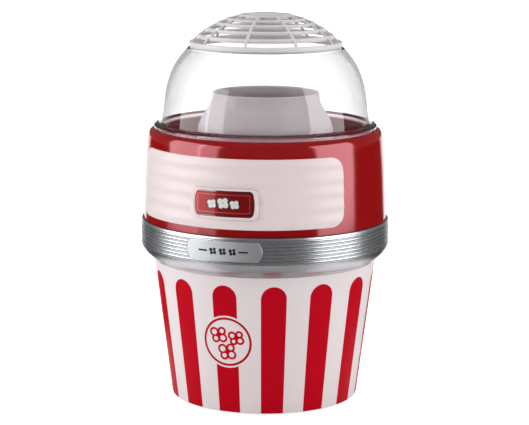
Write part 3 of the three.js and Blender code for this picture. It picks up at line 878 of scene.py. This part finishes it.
CHAMBER_LOW, CHAMBER_HIGH = node_box("popping_chamber")
CHAMBER_SLOTS = 12


def make_chamber():
    low, high = CHAMBER_LOW.z, CHAMBER_HIGH.z
    flange = CHAMBER_HIGH.x
    outline = [
        (0, low + 3.5, 0), (30, low, 8), (47.5, low, 3.3), (47.5, high - 1.5, 0.6),
        (flange, high - 1.5, 0.6), (flange, high, 0.6), (46, high, 1.6), (46, low + 1.8, 1.8),
        (30, low + 1.8, 8), (0, low + 5.3, 0),
    ]
    cup = turned("chamber", outline, 128)
    slots = []
    for i in range(CHAMBER_SLOTS):
        slot = block("slot", 2.4, 12, 13, bevel=0.6)
        lean = shift(0, -46, low + 10) @ spin(40, "Y")
        slots.append(moved(slot, spin(i * 360 / CHAMBER_SLOTS) @ lean))
    carve(cup, slots)
    finish_piece(cup, "base", drawn_aluminium(), "chamber_metal", "popping_chamber")


def make_feet():
    material = plastic("rubber")
    for i in range(FOOT_COUNT):
        node = f"foot_{i + 1}"
        low, high = node_box(node)
        middle = (low + high) / 2
        outline = [
            (0, 0, 0), (3.4, 0, 0.3), (3.4, 0.5, 0.2), (4.6, 0.5, 0.2), (4.6, 0, 0.3),
            (7.6, 0, 0.8), (8, 2.7, 0.4), (2.2, 2.7, 0.2), (2.2, high.z - 0.6, 0.4),
            (0, high.z, 0),
        ]
        foot = turned("rubber_" + node, outline, SMALL_SIDES)
        moved(foot, shift(middle.x, middle.y, 0))
        finish_piece(foot, "base", material, "rubber_feet", node)


def make_screws():
    """Pan-head screws with a cross recess, at the places of the CAD ones."""
    material = metal("bright_steel")
    screws = [(f"cover_screw_{i + 1}", False) for i in range(SCREW_COUNT)]
    screws += [(f"bracket_screw_{i + 1}", True) for i in range(BRACKET_SCREWS)]
    for node, head_up in screws:
        low, high = node_box(node)
        middle = (low + high) / 2
        length = high.z - low.z
        outline = [
            (0, 0, 0), (2.6, 0, 1.2), (3.4, 1.4, 0.2), (1.4, 1.4, 0.2), (1.4, length - 1, 0),
            (0, length, 0),
        ]
        screw = turned("fine_" + node, outline, 32)
        arms = [block("arm", 3.4, 0.8, 1.6), block("arm", 0.8, 3.4, 1.6)]
        carve(screw, arms)
        head = high.z if head_up else low.z
        moved(screw, shift(middle.x, middle.y, head) @ spin(180 if head_up else 0, "X"))
        finish_piece(screw, "base", material, "screw_steel", node)


def make_bottom_cover():
    low, high = node_box("bottom_cover")
    radius = high.x
    top = low.z + 3.2
    outline = [
        (0, low.z, 0), (54, low.z, 0.3), (54.6, low.z + 0.8, 0.3), (56.4, low.z + 0.8, 0.3),
        (57, low.z, 0.3), (radius, low.z, 0.6), (radius, top, 0.4), (0, top, 0),
    ]
    cover = turned("bottom_plate", outline, 128)
    cutters = []
    for i in range(AIR_SLOTS):
        slot = block("slot", 3.2, 22 if i % 2 else 18, 8, bevel=1.2)
        place = shift(0, -33 if i % 2 else -35, low.z + 1.6)
        cutters.append(moved(slot, spin(i * 360 / AIR_SLOTS) @ place))
    for i in range(FOOT_COUNT):
        place = shift(*on_ring(FOOT_RING, 45 + i * 360 / FOOT_COUNT))
        cutters.append(moved(rod("hole", 2.6, 0, 10), place))
    for i in range(SCREW_COUNT):
        seat = low.z + 1.8
        outline = [(0, 0), (3.9, 0), (3.9, seat), (1.9, seat), (1.9, 10), (0, 10)]
        place = shift(*on_ring(SCREW_RING, i * 360 / SCREW_COUNT))
        cutters.append(moved(turned("hole", outline, ROD_SIDES), place))
    carve(cover, cutters)
    posts = []
    for i in range(BRACKET_SCREWS):
        place = shift(*on_ring(BRACKET_RING, i * 360 / BRACKET_SCREWS))
        posts.append(moved(rod("post", 4, top - 0.5, high.z), place))
    whole = joined("bottom_plate", [cover] + posts)
    finish_piece(whole, "base", plastic("black_textured"), "black_plastic", "bottom_cover")


def make_switch():
    """A bezel with round corners, a red rocker in it, and the on and off marks raised on its ends."""
    frame_matrix = wall_frame(180, SWITCH_HEIGHT)
    bezel = block("switch_bezel", 26, 2, 34, (0, 1.3, 0), bevel=0.8)
    body = block("body", 20, 16, 28, (0, -7.6, 0), bevel=0.5)
    pocket = block("pocket", 14.4, 12, 22.4, (0, -2.7, 0), bevel=0.4)
    carve(bezel, [body], "UNION")
    carve(bezel, [pocket])
    moved(bezel, frame_matrix)
    finish_piece(bezel, "base", plastic("black_textured"), "black_plastic", "switch_housing")
    outline = rounded([
        (-10.4, 2.8, 0.8), (-10.4, -2.5, 0.8), (-3, -5, 0.5), (3, -5, 0.5), (10.4, -2.5, 0.8),
        (10.4, 2.8, 0.8), (0, 1.6, 6),
    ])
    half = 6.7
    rocker = loft("rocker", [[(side, y, x) for x, y in outline] for side in (-half, half)])
    marks = [block("on", 0.9, 0.5, 3.2, (0, 2.45, 6.2), bevel=0.15)]
    ring = turned("off", [(1.7, -0.25), (1.7, 0.25), (1.0, 0.25), (1.0, -0.25)], 32)
    marks.append(moved(ring, shift(0, 2.45, -6.2) @ spin(90, "X")))
    whole = joined("rocker", [rocker] + marks)
    moved(whole, frame_matrix @ shift(0, 0.3, 0) @ spin(ROCKER_TILT, "X"))
    finish_piece(whole, "rocker", plastic("rocker_red"), "rocker_plastic", "switch_rocker")


def make_inlet():
    outline = [
        (5.2, -8, 0.4), (5.2, 0.3, 0.1), (7.5, 0.3, 0.3), (7.5, 2.0, 0.9), (4.9, 4.3, 0.5),
        (3.4, 4.3, 0.5), (3.4, -8, 0.4),
    ]
    bush = turned("inlet_bush", outline, 64)
    moved(bush, wall_frame(INLET_ANGLE, INLET_HEIGHT) @ spin(-90, "X"))
    finish_piece(bush, "base", plastic("rubber"), "rubber_feet", "cord_inlet")


# ---- bowl ----
BOWL_WALL = [(BOWL_FOOT_RADIUS, BOWL_FOOT), (116.2, 202.0), (115.3, 225.0), (113.6, 250.0)]


def bowl_radius(height):
    k = 0
    while k < len(BOWL_WALL) - 2 and height > BOWL_WALL[k + 1][1]:
        k += 1
    (r0, z0), (r1, z1) = BOWL_WALL[k : k + 2]
    return r0 + (r1 - r0) * (height - z0) / (z1 - z0)


def make_bowl():
    shoulder = smooth_curve(
        [(113.6, 250.0), (113.2, 254.5), (112.4, 258.2), (110.9, 261.0), (108.6, 262.5),
         (106.8, BOWL_RIM)],
        18,
    )
    wall = smooth_curve(BOWL_WALL, 12)[:-1]
    inside = [
        (105.5, BOWL_RIM, 0.7), (105.5, 254, 0.6), (103.4, 253.2, 0.8), (100.6, 189, 5),
        (62, 189, 0.4), (62, 186.5, 0.4), (98.4, 186.5, 0.4), (98.4, 174.4, 0.5), (100.8, 174.4, 0.5),
        (105.8, 251, 0), (107.4, 259.8, 0), (109.6, 259.4, 0), (113, 225, 0),
        (114.8, BOWL_FOOT, 0.5),
    ]
    bowl = turned("bowl", wall + shoulder + inside)
    finish_piece(bowl, "bowl", plastic("red_gloss"), "red_plastic", "bowl_shell")


FLUTES = 5
FLUTE_DEPTH = 0.7


def flute_relief(height):
    """Five soft flutes run along the fascia, deepest between their crests."""
    share = (height - FASCIA["low"]) / (FASCIA["high"] - FASCIA["low"])
    return FLUTE_DEPTH / 2 * (1 + math.cos(2 * math.pi * FLUTES * share))


FASCIA = plate_of(
    "fascia_panel", half_angle=57.6, corner=14.0, inner=0.35, outer=1.5, edge=1.0,
    relief=flute_relief,
)


def make_fascia():
    plate = plate_on_wall("fascia", FASCIA, bowl_radius, 220, 120)
    finish_piece(plate, "bowl", plastic("cream_satin"), "cream_plastic", "fascia_panel")


INSERT_LOW, INSERT_HIGH = node_box("nameplate_insert")
INSERT_MIDDLE = (INSERT_LOW.z + INSERT_HIGH.z) / 2
INSERT_HALF_HEIGHT = (INSERT_HIGH.z - INSERT_LOW.z) / 2
BADGE_WALL = 118.0
INSERT_HALF_WIDTH = 28.5


def nameplate_wall(height):
    return bowl_radius(height) + FASCIA["outer"]


def nameplate_cutter(bezel, spread):
    outline = resized(bezel, spread, inner=0.6, outer=3.0, edge=0.0)
    return plate_on_wall("window", outline, nameplate_wall, 60, 40)


def make_nameplate():
    surround = plate_of(
        "nameplate_surround", half_angle=15.6, bow=0.6, corner=4.5, inner=0.15, outer=1.5, edge=1.1
    )
    bezel = plate_of(
        "nameplate_bezel", half_angle=13.5, bow=0.9, corner=3.0, inner=0.75, outer=1.5, edge=0.45
    )
    frame_piece = plate_on_wall("surround", surround, nameplate_wall, 90, 60)
    carve(frame_piece, [nameplate_cutter(bezel, 0.15)])
    finish_piece(frame_piece, "bowl", plastic("cream_satin"), "cream_plastic", "nameplate_surround")

    ring = plate_on_wall("nameplate_ring", bezel, nameplate_wall, 90, 60)
    carve(ring, [nameplate_cutter(bezel, -0.9)])
    finish_piece(ring, "bowl", metal("dark_chrome"), "frame_metal", "nameplate_bezel")

    face = resized(bezel, -1.0, inner=0.75, outer=1.25, edge=0.2)
    plate = plate_on_wall("nameplate_face", face, nameplate_wall, 90, 60)
    finish_piece(plate, "bowl", badge_red(), "red_metal", "nameplate_insert")


LIP_MIDDLE = 50.5  # radius of the middle of the chimney's round top edge
LIP_RADIUS = 1.3
LIP_STEPS = 12


def make_chimney():
    low, high = CHIMNEY_LOW.z, CHIMNEY_HIGH.z
    flare = smooth_curve(
        [(65.5, 259.5), (64.4, 265), (62.6, 270), (57.6, 279), (54.2, 284.4), (52.3, 290),
         (51.8, 294.5)],
        36,
    )
    inner_flare = smooth_curve(
        [(49.2, 294.5), (49.7, 290), (51.7, 284), (55.2, 278), (60.2, 268.5), (62.4, 260.5),
         (63, 255)],
        30,
    )
    lip = []
    for k in range(LIP_STEPS + 1):
        turn = math.pi * k / LIP_STEPS
        height = high - LIP_RADIUS + LIP_RADIUS * math.sin(turn)
        lip.append((LIP_MIDDLE + LIP_RADIUS * math.cos(turn), height))
    foot = [
        (63, 192.4, 1), (59.2, 189.3, 1), (59.2, low, 0.5), (61.6, low, 0.5), (61.6, 189.3, 0.2),
        (65.5, 189.3, 1.0),
    ]
    chimney = turned("chimney_collar", flare + lip + inner_flare + foot, 160, sharp_degrees=40)
    finish_piece(chimney, "bowl", plastic("chimney_grey"), "grey_plastic", "chimney")


# ---- dome and grille ----
DOME_WALL = 2.0


def make_dome():
    foot = DOME_LOW.z
    flange = DOME_HIGH.x
    seat = BOWL_RIM + 0.3
    outside = smooth_curve(
        [(102.2, 270.5), (101.1, 279), (99.5, 287.6), (96.8, 299.2), (93.1, 310.7), (88.0, 322.1),
         (82.1, 331.0), (75.4, 339.0)],
        56,
    )
    inside = []
    for k, (radius, height) in enumerate(outside):
        before = Vector(outside[max(k - 1, 0)])
        after = Vector(outside[min(k + 1, len(outside) - 1)])
        along = (after - before).normalized()
        inside.append((radius - DOME_WALL * along.y, height + DOME_WALL * along.x))
    base = [
        (flange - 5.6, foot, 0.4), (flange - 2.5, foot, 0.6), (flange - 2.5, seat, 0.3),
        (flange, seat, 0.5), (flange, 266.0, 0.9), (flange - 2, 267.6, 1.0), (102.6, 268.6, 1.0),
    ]
    opening = [(74.0, 340.2, 0.5), (72.2, 339.4, 0.4)]
    outline = base + outside[1:] + opening + inside[-2:0:-1]
    dome = turned("clear_dome", outline, 224, sharp_degrees=50)
    finish_piece(dome, "dome", clear_shell(), "clear_plastic", "dome_cover")


# outer radius, top and height of each hoop, from the rim inwards
GRILLE_HOOPS = [
    (73.6, 346.0, 4.6), (65.1, 352.7, 4.0), (56.3, 358.9, 3.5), (46.9, 364.2, 3.2),
    (37.9, 368.1, 2.8), (26.0, 371.5, 2.4),
]
CAP_RADIUS = 17.1
HOOP_WIDTH = 3.8
SPOKES = 9
SPOKE_START = -87.0
SPOKE_WIDTH = 2.6
SPOKE_DEPTH = 2.2
SPOKE_CORNER = 0.7
NECK_RADIUS = 71.6
NECK_WALL = 2.0


def make_grille():
    """Stepped hoops with round tops, spokes under them, a closed cap and a neck into the dome."""
    pieces = []
    for radius, top, height in GRILLE_HOOPS:
        outline = [
            (radius - HOOP_WIDTH + 0.3, top - height, 0.5), (radius - 0.3, top - height, 0.5),
            (radius, top, 1.3), (radius - HOOP_WIDTH, top, 1.3),
        ]
        pieces.append(turned("hoop", outline, 144))
    cap_top = GRILLE_HIGH.z
    cap = [
        (0, cap_top - 4.4, 0), (CAP_RADIUS - 0.4, cap_top - 4.4, 0.5),
        (CAP_RADIUS, cap_top - 1.5, 1.0), (CAP_RADIUS * 0.6, cap_top - 0.4, 12),
        (0, cap_top, 0),
    ]
    pieces.append(turned("cap", cap, 96))
    rim_top = GRILLE_HOOPS[0][1]
    rim_base = rim_top - GRILLE_HOOPS[0][2]
    neck = [
        (NECK_RADIUS - NECK_WALL, GRILLE_LOW.z, 0.4), (NECK_RADIUS, GRILLE_LOW.z, 0.4),
        (NECK_RADIUS, rim_base + 1.5, 0), (NECK_RADIUS - NECK_WALL, rim_base + 1.5, 0),
    ]
    pieces.append(turned("neck", neck, 144))
    chain = [(NECK_RADIUS, rim_top)] + [hoop[:2] for hoop in GRILLE_HOOPS[1:]]
    chain.append((CAP_RADIUS - 2, cap_top - 1.6))
    chain = smooth_curve([(radius, height - 0.9) for radius, height in chain], 24)
    half = SPOKE_WIDTH / 2
    cut = SPOKE_CORNER
    section = [
        (-half, -SPOKE_DEPTH), (half, -SPOKE_DEPTH), (half, -cut), (half - cut, 0),
        (cut - half, 0), (-half, -cut),
    ]
    sections = [[(radius, across, height + up) for across, up in section] for radius, height in chain]
    for i in range(SPOKES):
        pieces.append(moved(loft("spoke", sections), spin(i * 360 / SPOKES + SPOKE_START)))
    grille = joined("grille", pieces)
    finish_piece(grille, "dome", plastic("grey_satin"), "grey_plastic", "vent_grille")


# ---- CAD nodes that keep their shape ----
def dress_kept_nodes():
    dressed = (
        (galvanised(), ("air_duct", "motor_bracket")),
        (metal("bright_steel"), ("fan_motor", "thermal_fuse", "motor_shaft")),
        (mica_sheet(), ("heater_former",)),
        (metal("coil_wire"), ("heater_coil_1", "heater_coil_2")),
        (plastic("phenolic_board"), ("rectifier_board",)),
        (plastic("black_textured"), ("thermostat", "fan_impeller")),
    )
    for material, nodes in dressed:
        for node in nodes:
            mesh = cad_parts[node].data
            mesh.materials.clear()
            mesh.materials.append(material)


# ---- studio ----
def hide_from_camera(obj):
    """A lamp lights and shows in gloss, but isn't seen straight on or through the clear dome."""
    obj.visible_camera = False
    obj.visible_transmission = False


# azimuth from the camera's, distance, width and radiance of each softbox
SOFTBOXES = {
    "right_softbox": (69, 1300, 1050, 2.25),
    "left_softbox": (-82, 1300, 950, 2.1),
    "left_inner_softbox": (-55, 1500, 560, 1.7),
}
SOFTBOX_HEIGHT = 480.0  # of its middle
SOFTBOX_TALL = 1150.0
SOFTBOX_AIM = 200.0  # height that it faces on the object's axis
WATTS_PER_RADIANCE = 4.0  # for each square metre of softbox
SUN = 1.45  # strength of the lamp overhead
SUN_SPREAD = 80.0  # degrees

WORLD_FILL = 0.24  # how bright the surroundings are for matt surfaces
WORLD_GLOSS = 0.13  # and how bright they are in gloss
DEEP_GLOSS = 0.1  # how far gloss that meets two clear walls counts as looked at
NEAR_FLOOR = 250.0  # the floor shows in gloss within this radius
FLOOR_EDGE = 9000.0
FLOOR_IN_GLOSS = (0.03, 0.03, 0.03, 1)
FLOOR_GLOW = 0.85
FRONT_FLOOR_LOSS = 0.7  # how much darker the floor before the object is in gloss
BACK_EDGE = 34.0  # degrees from straight behind, where the far floor turns dark in gloss
BACK_FADE = 5.0  # degrees over which that happens
WALL_EDGE = 60.0  # the same for light that comes out of a clear wall
WALL_FADE = 30.0


def softbox(name, azimuth, distance, width, radiance):
    """An area light on a circle round the object, facing its axis."""
    lamp = bpy.data.lights.new(name, "AREA")
    lamp.shape = "RECTANGLE"
    lamp.size = width * MM
    lamp.size_y = SOFTBOX_TALL * MM
    lamp.energy = radiance * WATTS_PER_RADIANCE * lamp.size * lamp.size_y
    holder = new_object(name, lamp)
    place = on_ring(distance, CAMERA_AZIMUTH + azimuth, SOFTBOX_HEIGHT)
    holder.location = place * MM
    holder.rotation_euler = (Vector((0, 0, SOFTBOX_AIM)) - place).to_track_quat("-Z", "Y").to_euler()
    hide_from_camera(holder)


def make_floor():
    """Pale paper, white where it is looked at. Gloss shows it only near and behind the object."""
    paper = Shader("pale_paper")
    x, y, _ = paper.axes()
    distance = paper.length(x, y)
    away = paper.step(distance, NEAR_FLOOR * 0.8, NEAR_FLOOR * 1.2)
    back = -on_ring(1, CAMERA_AZIMUTH)
    along = paper.plus(paper.times(x, back.x), paper.times(y, back.y))
    ahead = paper.math("DIVIDE", along, distance)
    mirrored = paper.mirrored(ahead, 1.0)
    front = paper.times(paper.step(ahead, -0.4, -0.9), FRONT_FLOOR_LOSS)
    unseen = paper.times(paper.largest(away, front), mirrored)
    pale = paper.mix(paper.noise(0.002, 2.0), (0.92, 0.92, 0.92, 1), (0.95, 0.95, 0.95, 1))
    paper.colour(unseen, pale, FLOOR_IN_GLOSS)
    looked_at = paper.times(paper.minus(1.0, mirrored), paper.minus(1.0, paper.scattered()))
    paper.set(Roughness=0.9, Specular_IOR_Level=0.2, Emission_Color=(1, 1, 1, 1))
    paper.set(Emission_Strength=paper.times(looked_at, FLOOR_GLOW))
    edge = [on_ring(FLOOR_EDGE, k * 360 / SIDES) for k in range(SIDES)]
    floor = make_object("floor", edge, [list(range(SIDES))])
    floor.data.materials.append(paper.material)


def make_world():
    """White where it is looked at, and dim where it only lights or is seen in gloss."""
    world = bpy.data.worlds.new("studio")
    scene.world = world
    world.use_nodes = True
    sky = Nodes(world.node_tree)
    background = sky.tree.nodes["Background"]
    place = sky.node("TexCoord")
    ahead = sky.node("VectorMath", operation="DOT_PRODUCT")
    sky.link(place.outputs["Generated"], ahead.inputs[0])
    ahead.inputs[1].default_value = -on_ring(1, CAMERA_AZIMUTH)
    seen = sky.between(sky.mirrored(ahead.outputs["Value"], 0.0), 1.0, WORLD_GLOSS)
    strength = sky.between(sky.scattered(), seen, WORLD_FILL)
    sky.fill(background, Color=(1, 1, 1, 1), Strength=strength)


def make_studio():
    scene.view_settings.view_transform = "Standard"
    make_world()
    make_floor()
    for name, settings in SOFTBOXES.items():
        softbox(name, *settings)
    lamp = bpy.data.lights.new("overhead", "SUN")
    lamp.energy = SUN
    lamp.angle = math.radians(SUN_SPREAD)
    holder = new_object("overhead", lamp)
    hide_from_camera(holder)
    holder.visible_glossy = False


make_camera()
make_bucket()
make_band()
make_plaque()
make_deck()
make_chamber()
make_feet()
make_screws()
make_bottom_cover()
make_switch()
make_inlet()
make_bowl()
make_fascia()
make_nameplate()
make_chimney()
make_dome()
make_grille()
dress_kept_nodes()
make_studio()
